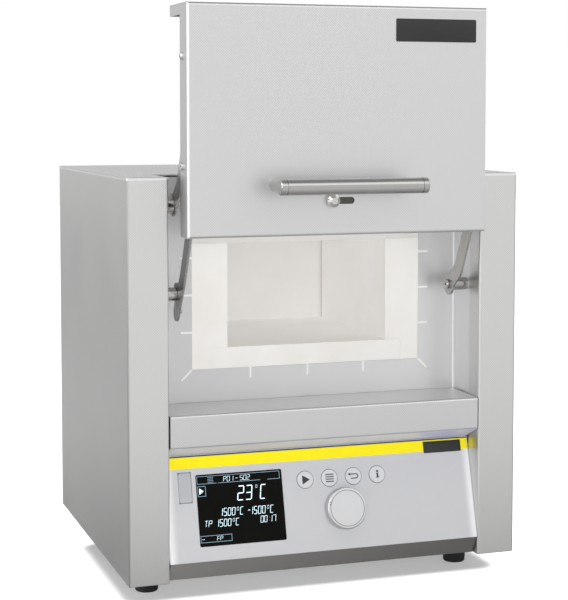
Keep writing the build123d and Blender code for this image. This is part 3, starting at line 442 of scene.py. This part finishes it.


# Painted folds: the door has a painted highlight on its upright folds and painted shade on its top edge; the
# casing has painted shade on its front folds and a painted highlight on its top edge.
door_painted_folds = (door_high.x, door_low.y, door_high.z)
casing_painted_folds = (casing_high.x, front_y, casing_high.z)
finishes = {
    "linen": linen_steel("linen_steel", (0.67, 0.67, 0.675), fold=door_painted_folds, painted_top_tone=0.60),
    "bar": linen_steel("bar_linen_steel", (0.655, 0.655, 0.655), matt_below=bar_z),
    "side": linen_steel("side_linen_steel", (0.67, 0.668, 0.662), None, casing_painted_folds, 0.36, 0.85),
    "recess": recess_steel(),
    "cover": brushed_steel("cover_steel", (0.65, 0.65, 0.65), 0.26, (3, 60, 60), 0.03),
    "zinc": brushed_steel("zinc_sheet", (0.60, 0.61, 0.62), 0.42, (14, 14, 14), 0.10),
    "turned": brushed_steel("turned_steel", (0.43, 0.425, 0.415), 0.15, (3, 400, 400)),
    "bright": brushed_steel("bright_steel", (0.78, 0.775, 0.77), 0.18, (3, 400, 400)),
    "stud": brushed_steel("stud_steel", (0.50, 0.49, 0.48), 0.14, (3, 400, 400)),
    "arm": brushed_steel("arm_steel", (0.45, 0.44, 0.43), 0.30, (60, 60, 8)),
    "brick": white_brick("collar_brick", (0.96, 0.945, 0.92)),
    # Painted shade: the lintel is the collar's brick in a darker tone, for the door's shadow above the
    # mouth.
    "lintel": white_brick("lintel_brick_painted_shade", (0.86, 0.845, 0.82)),
    "chamber": white_brick("chamber_brick", (0.97, 0.96, 0.95)),
    # Painted shade: the rear wall is the chamber's fibre in a darker tone, for the shade at the back of the
    # chamber, with painted shade in the joints beside the mouth.
    "rear": white_brick("rear_brick", (0.83, 0.82, 0.81), mouth_half),
    "fascia": fascia_paint(),
    "slider": slider_steel(),
    "screen": glass_black("display_window"),
    "key": plastic("key_grey", (0.66, 0.665, 0.68), 0.35),
    "dial": brushed_steel("dial_aluminium", (0.62, 0.623, 0.63), 0.40, (120, 120, 120), 0.03),
    "black": plastic("black_plastic", (0.012, 0.012, 0.012), 0.5),
    "rubber": plastic("foot_rubber", (0.010, 0.010, 0.010), 0.72),
    "flap": plastic("flap_grey", (0.47, 0.475, 0.49), 0.45),
    # Painted shade: dark grey for the rims round the keys and the ring on the dial; also the dial's printed
    # marks.
    "rim": plastic("shade_and_print_grey", (0.16, 0.16, 0.165), 0.6),
    "packing": white_brick("packing_fibre", (0.97, 0.965, 0.95)),
    "board": plastic("board_green", (0.03, 0.16, 0.06), 0.45),
    "grey": plastic("grey_plastic", (0.42, 0.43, 0.44), 0.5),
    "red": plastic("rocker_red", (0.50, 0.02, 0.015), 0.3),
    "print": plastic("print_grey", (0.030, 0.030, 0.033), 0.6),
    "lit": lit("lit_segments", (0.68, 0.87, 0.93), 0.9),
    "dim": lit("lit_frames", (0.22, 0.34, 0.42), 0.55),
}

node_finish = {
    "linen": ("door_pan",),
    "bar": ("door_sill",),
    "side": ("side_panel_left", "side_panel_right"),
    "recess": ("recess_panel",),
    "cover": ("top_cover",),
    "zinc": ("rear_cover", "base_plate", "door_tray", "slider_guide", "insulation_shell",
             "stud_brackets"),
    "turned": ("handle_tube", "handle_ends", "foot_screws", "dial_spindle", "usb_socket"),
    "stud": ("wall_studs", "wall_pivot_screws", "door_pivot_pins", "air_inlet_tube"),
    "bright": ("flange_screws",),
    "slider": ("air_slider",),
    "arm": ("lower_arm_left", "lower_arm_right", "upper_arm_left", "upper_arm_right"),
    "brick": ("collar_sill", "collar_uprights", "door_plug", "flue_tube", "thermocouple"),
    "lintel": ("collar_lintel",),
    "rear": ("rear_brick",),
    "chamber": ("chamber_floor", "chamber_roof", "heating_plates", "insulation_front",
                "insulation_floor", "insulation_rear", "insulation_sides", "insulation_top",
                "door_insulation"),
    "fascia": ("control_fascia",),
    "screen": ("display_module",),
    "key": ("key_start", "key_menu", "key_back", "key_info"),
    "dial": ("control_dial", "relay_heat_sink", "dial_encoder"),
    "black": ("mains_inlet", "mains_switch"),
    "rubber": ("feet",),
    "flap": ("usb_flap",),
    "board": ("controller_board",),
    "grey": ("power_relay", "terminal_block"),
    "red": ("switch_rocker",),
}
for finish, nodes in node_finish.items():
    for node in nodes:
        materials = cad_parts[node].data.materials
        materials.clear()
        materials.append(finishes[finish])


def dressed(piece, finish, body):
    """Gives a piece its material and its body."""
    piece.data.materials.clear()
    piece.data.materials.append(finishes[finish])
    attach(piece, body)
    return piece


# ---------------------------------------------------------------- display
segment_places = {
    "a": (0.0, 1.0, 0), "b": (0.5, 0.5, 1), "c": (0.5, -0.5, 1), "d": (0.0, -1.0, 0),
    "e": (-0.5, -0.5, 1), "f": (-0.5, 0.5, 1), "g": (0.0, 0.0, 0),
    "h": (0.0, 0.5, 1), "i": (0.0, -0.5, 1),
}
glyphs = {
    "P": "abfeg", "F": "afeg", "T": "ahi", "S": "afgcd", "C": "afed", "-": "g", "o": "abcdef",
    "0": "abcdef", "1": "bc", "2": "abged", "3": "abgcd", "5": "afgcd", "7": "abc",
}
print_out = 0.2                         # display signs above the fascia's plane, in millimetres
lit_t = 0.05 * MM
stroke_share = 0.07
digit_slant = 0.13


def segment(length, width):
    """One display segment with pointed ends, lying along X."""
    pick_none()
    bpy.ops.mesh.primitive_plane_add(size=1)
    bar = named("segment")
    bar.scale = (length - width, width, 1)
    lay(bar, Matrix.Identity(4))
    bpy.ops.object.mode_set(mode="EDIT")
    bpy.ops.mesh.select_mode(type="EDGE")
    for end in (-1, 1):
        bpy.ops.mesh.select_all(action="DESELECT")
        bpy.ops.object.mode_set(mode="OBJECT")
        for edge in bar.data.edges:
            a, b = (bar.data.vertices[i].co for i in edge.vertices)
            edge.select = a.x * end > length * 0.2 and b.x * end > length * 0.2
        bpy.ops.object.mode_set(mode="EDIT")
        bpy.ops.mesh.extrude_region_move(TRANSFORM_OT_translate={"value": (end * width / 2, 0, 0)})
        bpy.ops.mesh.merge(type="CENTER")
    bpy.ops.mesh.select_all(action="SELECT")
    bpy.ops.mesh.extrude_region_move(TRANSFORM_OT_translate={"value": (0, 0, lit_t)})
    bpy.ops.mesh.select_all(action="SELECT")
    bpy.ops.mesh.normals_make_consistent(inside=False)
    bpy.ops.object.mode_set(mode="OBJECT")
    return bar


def number(text, x, up, height, width, name, degree=(0.66, 0.40)):
    """A row of slanted segment digits, its left end and middle height given in millimetres."""
    half = height / 2 * MM
    wide = width * MM
    stroke = height * stroke_share * MM
    gap = stroke * 2.9
    upright = segment(half * 0.98, stroke)
    level = segment(wide * 0.98, stroke)
    slant = Matrix.Identity(4)
    slant[0][1] = digit_slant
    marks = []
    cursor = 0.0
    for sign in text:
        if sign == " ":
            cursor += wide * 0.5
            continue
        if sign == ":":
            for height_share in (0.45, -0.45):
                place = shift(cursor, height_share * half, 0) @ Matrix.Scale(0.25, 4)
                marks.append(copy_of(level, "mark", slant @ place))
            cursor += wide * 0.45
            continue
        broad, tall = degree if sign == "o" else (1.0, 1.0)
        lift = half * (1.0 - tall)
        for key in glyphs[sign]:
            across, height_share, standing = segment_places[key]
            blank, size = (upright, tall) if standing else (level, broad)
            place = shift(cursor + across * wide * broad, lift + height_share * half * tall, 0)
            turned = spin(pi / 2 * standing) @ Matrix.Scale(size, 4)
            marks.append(copy_of(blank, "mark", slant @ place @ turned))
        cursor += wide * (0.9 if sign == "o" else 1.0) + gap
    for blank in (upright, level):
        bpy.data.objects.remove(blank)
    row = joined(marks, name)
    return lay(row, fascia_place(x, up, print_out))


def frame_line(x0, x1, up0, up1, stroke, name):
    """Thin bar on the display between two corners, in millimetres."""
    bar = slab(name, ((x1 - x0 + stroke) * MM, (up1 - up0 + stroke) * MM, lit_t))
    return lay(bar, fascia_place((x0 + x1) / 2, (up0 + up1) / 2, print_out))


rows = [
    number("23", 72.0, 59.5, 12.8, 5.4, "digits_now"),
    number("oC", 87.0, 59.3, 12.8, 4.6, "digits_unit", (0.38, 0.17)),
    number("1500oC", 51.6, 43.3, 6.8, 2.7, "digits_from"),
    number("-", 78.9, 43.2, 6.8, 2.6, "digits_dash"),
    number("1500oC", 81.0, 42.7, 6.8, 2.7, "digits_to"),
    number("TP", 36.7, 33.6, 5.4, 2.8, "digits_mode"),
    number("1500oC", 47.2, 33.6, 6.3, 2.7, "digits_set"),
    number("00:17", 90.8, 34.0, 5.8, 2.5, "digits_time"),
    number("P01 - S02", 57.6, 73.6, 4.4, 2.5, "digits_program"),
    number("FP", 47.4, 19.8, 4.0, 2.2, "digits_step"),
    number("-", 33.0, 19.8, 4.2, 2.4, "digits_mark"),
]
dressed(joined(rows, "display_digits"), "lit", "casing")
level_lines = (
    (30.6, 111.0, 77.2), (30.6, 49.1, 70.3), (51.0, 91.8, 70.3), (99.0, 111.0, 70.3),
    (30.8, 38.2, 68.1), (30.8, 38.2, 59.0), (30.6, 60.3, 22.8), (30.6, 60.3, 16.9),
    (41.0, 46.0, 75.8), (41.0, 46.0, 74.3), (41.0, 46.0, 72.8), (41.0, 46.0, 71.4),
)
upright_lines = (
    (30.6, 70.3, 77.2), (111.0, 70.3, 77.2), (30.8, 59.0, 68.1), (38.2, 59.0, 68.1),
    (30.6, 16.9, 22.8), (60.3, 16.9, 22.8),
)
line_t = 0.4
lines = [frame_line(x0, x1, up, up, line_t, "frame_line") for x0, x1, up in level_lines]
lines += [frame_line(x, x, up0, up1, line_t, "frame_line") for x, up0, up1 in upright_lines]
dressed(joined(lines, "display_frames"), "dim", "casing")


# ---------------------------------------------------------------- signs on the keys
keys = ("key_start", "key_menu", "key_back", "key_info")
first_key_x, key_pitch, key_up, key_front = 136.3, 24.4, 67.0, 1.2


def disc(name, radius, height, vertices, y=0.0):
    """Flat cylinder or prism standing on the drawing plane."""
    pick_none()
    middle = (0, y, height / 2)
    bpy.ops.mesh.primitive_cylinder_add(vertices=vertices, radius=radius, depth=height, location=middle)
    return lay(named(name), Matrix.Identity(4))


def wedge(name, radius, height):
    """Triangle that points along X."""
    return lay(disc(name, radius, height, 3), spin(-pi / 2))


def key_place(node, out=0.02):
    """Matrix from a flat drawing to the middle of a key's face."""
    across = first_key_x + key_pitch * keys.index(node)
    return fascia_place(across, key_up, key_front + out)


sign_t = 0.08 * MM
running = lay(wedge("display_running", 3.4 * MM, lit_t), Matrix.Scale(0.8, 4, (1, 0, 0)))
dressed(lay(running, fascia_place(33.6, 63.6, print_out)), "lit", "casing")
play = lay(wedge("sign_start", 5.0 * MM, sign_t), shift(-0.6 * MM, 0, 0))
dressed(lay(play, key_place("key_start")), "print", "key_start")


def stroke_at(width, height, x, y):
    """Flat stroke of a key's sign."""
    return lay(slab("stroke", (width, height, sign_t)), shift(x, y, 0))


bars = [stroke_at(8.2 * MM, 0.95 * MM, 0, row * 2.2 * MM) for row in (-1.5, -0.5, 0.5, 1.5)]
dressed(lay(joined(bars, "sign_menu"), key_place("key_menu")), "print", "key_menu")


def hook(name, width, height, stroke):
    """Return arrow: two level strokes joined by a half turn, as a flat ribbon."""
    reach = height / 2
    lower = stroke_at(width * 0.62, stroke, -width * 0.04, -reach)
    upper = stroke_at(width * 0.72, stroke, -width * 0.07, reach)
    bend = ring("stroke", reach + stroke / 2, reach - stroke / 2, sign_t)
    pick(bend)
    bpy.ops.object.mode_set(mode="EDIT")
    bpy.ops.mesh.select_all(action="SELECT")
    bpy.ops.mesh.bisect(plane_co=(0, 0, 0), plane_no=(1, 0, 0), clear_inner=True, use_fill=True)
    bpy.ops.object.mode_set(mode="OBJECT")
    lay(bend, shift(width * 0.27, 0, 0))
    tip = lay(wedge("stroke", 1.7 * MM, sign_t), shift(-width * 0.5, reach, 0) @ spin(pi))
    return joined([lower, upper, bend, tip], name)


arrow = hook("sign_back", 8.4 * MM, 4.0 * MM, 0.95 * MM)
dressed(lay(arrow, key_place("key_back")), "print", "key_back")
letter = [
    stroke_at(1.7 * MM, 4.6 * MM, 0, -0.9 * MM),
    stroke_at(3.5 * MM, 0.8 * MM, 0, -2.7 * MM),
    stroke_at(1.9 * MM, 0.7 * MM, -0.3 * MM, 0.9 * MM),
    disc("stroke", 1.1 * MM, sign_t, 24, 3.0 * MM),
]
dressed(lay(joined(letter, "sign_info"), key_place("key_info")), "print", "key_info")

# ---------------------------------------------------------------- painted shade rims and dial marks
key_gap_in, key_gap_out = 7.97 * MM, 8.5 * MM
# Painted shade: a dark grey ring on the fascia round each key stands for the shadow in the gap round the
# key.
for key in keys:
    rim = ring(f"{key}_rim", key_gap_out, key_gap_in, 0.04 * MM)
    dressed(lay(rim, key_place(key, -key_front)), "rim", "casing")

dial_x, dial_up, dial_front = 172.9, 37.4, 10.21
dial_r = 19.7 * MM
mark_t = 0.03 * MM
# Painted shade: a dark ring near the dial's edge stands for its shaded side; the index marks are print.
shade_ring = ring("dial_shade_ring", dial_r - 2.65 * MM, dial_r - 3.15 * MM, mark_t, 96)
marks = [lay(slab("mark", (1.2 * MM, 0.9 * MM, mark_t)), shift(0, y * MM, 0)) for y in (-0.9, 0.9)]
index = lay(joined(marks, "dial_marks"), spin(radians(162)) @ shift(0.895 * dial_r, 0, 0))
dial_shade_ring_and_marks = lay(joined([shade_ring, index], "dial_shade_ring_and_marks"), fascia_place(dial_x, dial_up, dial_front))
dressed(dial_shade_ring_and_marks, "rim", "dial")


# ---------------------------------------------------------------- fibre in the expansion slots
def packing(x, z, length, turn):
    """Strip of fibre in a slot of the recessed panel, its middle in metres."""
    strip = slab("strip", (length, 2.0 * MM, 0.9 * MM))
    flat = spin(pi / 2, "X") @ spin(turn)
    return lay(strip, shift(x, fibre_y, z) @ flat)


slot_l = 10.5 * MM
slot_parts = 4
slot_x = collar_half + slot_l / 2
slot_z = collar_low - slot_l / 2
strips = []
for row in range(1, slot_parts):
    share = row / slot_parts
    up = collar_low + (collar_high - collar_low) * share
    across = -collar_half + 2 * collar_half * share
    strips += [packing(side * slot_x, up, slot_l, 0) for side in (-1, 1)]
    strips.append(packing(across, slot_z, slot_l, pi / 2))
for side in (-1, 1):
    strips.append(packing(side * slot_x, slot_z, 1.3 * slot_l, -side * pi / 4))
dressed(joined(strips, "slot_packing"), "packing", "casing")

# ---------------------------------------------------------------- light beads on the fascia's side edges, a painted highlight over the gap
bead_r = 0.4 * MM
bead_l = (lean**2 + rise**2) ** 0.5
# Painted highlight: light grey beads fill the gap between the fascia and the cheeks, so that it reads as a
# lit rounded edge.
for side, name in ((-1, "fascia_highlight_bead_left"), (1, "fascia_highlight_bead_right")):
    pick_none()
    bpy.ops.mesh.primitive_cylinder_add(vertices=16, radius=bead_r, depth=bead_l)
    bead = lay(named(name), spin(-pi / 2, "X"))
    place = fascia_place(0, bead_l / 2 / MM, -bead_r / MM)
    place.translation.x = side * (fascia_high.x + bead_r)
    dressed(lay(bead, place), "key", "casing")

# ---------------------------------------------------------------- blank plates
fascia_plate = slab("fascia_plate", (39.6 * MM, 11.2 * MM, 0.4 * MM), 0.8 * MM, 0.12 * MM)
dressed(lay(fascia_plate, fascia_place(280.0, 89.1, 0.0)), "black", "casing")

plate_w, plate_h = 80.0 * MM, 21.0 * MM
plate_x = door_high.x - 11.6 * MM - plate_w / 2
plate_z = door_high.z - 11.2 * MM - plate_h / 2
door_plate = slab("door_plate", (plate_w, plate_h, 0.6 * MM), 1.2 * MM, 0.15 * MM)
upright = shift(plate_x, door_low.y, plate_z) @ spin(pi / 2, "X")
dressed(lay(door_plate, upright), "black", "door")


# ---------------------------------------------------------------- screws of the rear cover
def screw(name, radius, height):
    """Button head with a hexagon socket, standing on the drawing plane."""
    head = rounded(disc(name, radius, height, 32), height * 0.55, 3)
    cutter = lay(disc("cutter", radius * 0.5, height, 6), shift(0, 0, height * 0.4))
    pick(head)
    cut = head.modifiers.new("socket", "BOOLEAN")
    cut.operation = "DIFFERENCE"
    cut.object = cutter
    cut.solver = "EXACT"
    bpy.ops.object.modifier_apply(modifier=cut.name)
    bpy.data.objects.remove(cutter)
    return head


head = screw("screw", 3.4 * MM, 1.9 * MM)
rear_turn = spin(-pi / 2, "X")
edge_in = 9.0 * MM
middle_z = (cover_low.z + cover_high.z) / 2
heads = []
for x in (cover_low.x + edge_in, 0, cover_high.x - edge_in):
    for z in (cover_low.z + edge_in, middle_z, cover_high.z - edge_in):
        if (x, z) != (0, middle_z):
            heads.append(copy_of(head, "screw", shift(x, cover_high.y, z) @ rear_turn))
bpy.data.objects.remove(head)
dressed(joined(heads, "rear_screws"), "turned", "casing")

# ---------------------------------------------------------------- stage, light and camera
pick_none()
bpy.ops.mesh.primitive_plane_add(size=12, location=(0, 0, 0))
floor = named("floor")
ground = Finish("pale_floor", (0.93, 0.93, 0.93), 1.0, Specular_IOR_Level=0.0, Emission_Color=(1, 1, 1, 1))
on_camera = ground.output("ShaderNodeLightPath", "Is Camera Ray")
on_gloss = ground.output("ShaderNodeLightPath", "Is Glossy Ray")
ground.colour(ground.mixed(on_gloss, (0.93, 0.93, 0.93), (0.30, 0.30, 0.30)))
# Mirrored in the sheet, the floor is lighter in front and far behind.
ahead = ground.ramp(ground.axis("Y"), 0.72, 0.10, -0.8, 0.0)
behind = ground.ramp(ground.axis("Y"), 0.0, 0.26, 0.1, 0.7)
mirrored = ground.math("MULTIPLY", on_gloss, ground.math("ADD", ahead, behind))
# The lift is low in a box round the casing's footprint, a painted shadow that deepens the lamps' own shadow,
# and high all round it.
reach = ground.place
shadow_half = (0.172, 0.088, 0)
for operation, amount in (("ABSOLUTE", 0), ("SUBTRACT", shadow_half), ("MAXIMUM", (0, 0, 0)), ("LENGTH", 0)):
    step = ground.nodes.new("ShaderNodeVectorMath")
    step.operation = operation
    ground.links.new(reach, step.inputs[0])
    if amount:
        step.inputs[1].default_value = amount
    reach = step.outputs["Value" if operation == "LENGTH" else "Vector"]
painted_shadow_lift = ground.ramp(reach, 0.13, 0.95, 0.010, 0.026, smooth=True)
lift = ground.math("MULTIPLY_ADD", on_camera, painted_shadow_lift, mirrored)
ground.wire(lift, ground.shader.inputs["Emission Strength"])
floor.data.materials.append(ground.material)

world = bpy.data.worlds.new("studio")
bpy.context.scene.world = world
world.use_nodes = True
studio = Graph(world.node_tree)
backdrop = studio.nodes["Background"]
backdrop.inputs["Color"].default_value = (1, 1, 1, 1)
direction = studio.output("ShaderNodeTexCoord", "Generated")


def wall_of_light(axis, start, end, low, high):
    """Brightness of the studio along one axis."""
    return studio.ramp(studio.part(direction, axis), low, high, start, end, smooth=True)


# Polished sheet sees a white studio that dims towards the ceiling and the rear, with a lit wall at the
# left and a bright panel above the front, which draws a highlight along each level bend and bar.
ceiling = wall_of_light("Z", 0.25, 0.85, 1.02, 0.45)
rear = wall_of_light("Y", -0.2, 0.6, 1.0, 0.70)
left = wall_of_light("X", -0.55, -0.85, 1.0, 2.2)
panel_low = wall_of_light("Z", 0.36, 0.48, 0.0, 1.0)
panel_high = wall_of_light("Z", 0.72, 0.86, 1.0, 0.0)
panel_rear = wall_of_light("Y", -0.1, 0.1, 1.0, 0.0)
panel = studio.math("MULTIPLY", studio.math("MULTIPLY", panel_low, panel_high), panel_rear)
room = studio.math("MULTIPLY", studio.math("MULTIPLY", studio.math("ADD", ceiling, panel), rear), left)
path = studio.nodes.new("ShaderNodeLightPath").outputs
seen = studio.math("MAXIMUM", path["Is Camera Ray"], path["Is Transmission Ray"])
on_sheet = studio.math("MULTIPLY", path["Is Glossy Ray"], room)
on_matt = studio.math("MULTIPLY", path["Is Diffuse Ray"], 0.32)
strength = studio.math("ADD", studio.math("ADD", seen, on_sheet), on_matt)
studio.links.new(strength, backdrop.inputs["Strength"])


def lamp(name, place, target, size, watts, shadows=True):
    """Square soft box aimed at a point, which polished sheet doesn't mirror."""
    light = bpy.data.lights.new(name, "AREA")
    light.shape = "SQUARE"
    light.size = size
    light.energy = watts
    light.use_shadow = shadows
    holder = bpy.data.objects.new(name, light)
    bpy.context.collection.objects.link(holder)
    holder.visible_glossy = False
    holder.location = place
    holder.rotation_euler = (Vector(target) - Vector(place)).to_track_quat("-Z", "Y").to_euler()


lamp("top_box", (-0.2, -0.3, 2.0), (0, 0, 0.2), 1.6, 10)
lamp("front_box", (-0.45, -2.6, 0.62), (0, 0, 0.27), 0.8, 12)
lamp("fill_box", (-1.4, -1.7, 1.5), (0, 0, 0.2), 1.0, 25, shadows=False)

focal_px = 1588.6
picture = (568, 600)
middle_px = (284.0, 216.0)
yaw, pitch = radians(18.404), radians(3.773)
camera_data = bpy.data.cameras.new("camera")
camera = bpy.data.objects.new("camera", camera_data)
bpy.context.collection.objects.link(camera)
bpy.context.scene.camera = camera
camera.location = (-0.5056, front_y - 1.3857, 0.4551)
aim = Vector((sin(yaw) * cos(pitch), cos(yaw) * cos(pitch), -sin(pitch)))
camera.rotation_euler = aim.to_track_quat("-Z", "Y").to_euler()
camera_data.sensor_width = 36.0
camera_data.lens = 36.0 * focal_px / max(picture)
camera_data.shift_x = (picture[0] / 2 - middle_px[0]) / max(picture)
camera_data.shift_y = (middle_px[1] - picture[1] / 2) / max(picture)
camera_data.clip_start = 0.05
camera_data.clip_end = 50.0

bpy.context.scene.view_settings.view_transform = "Standard"
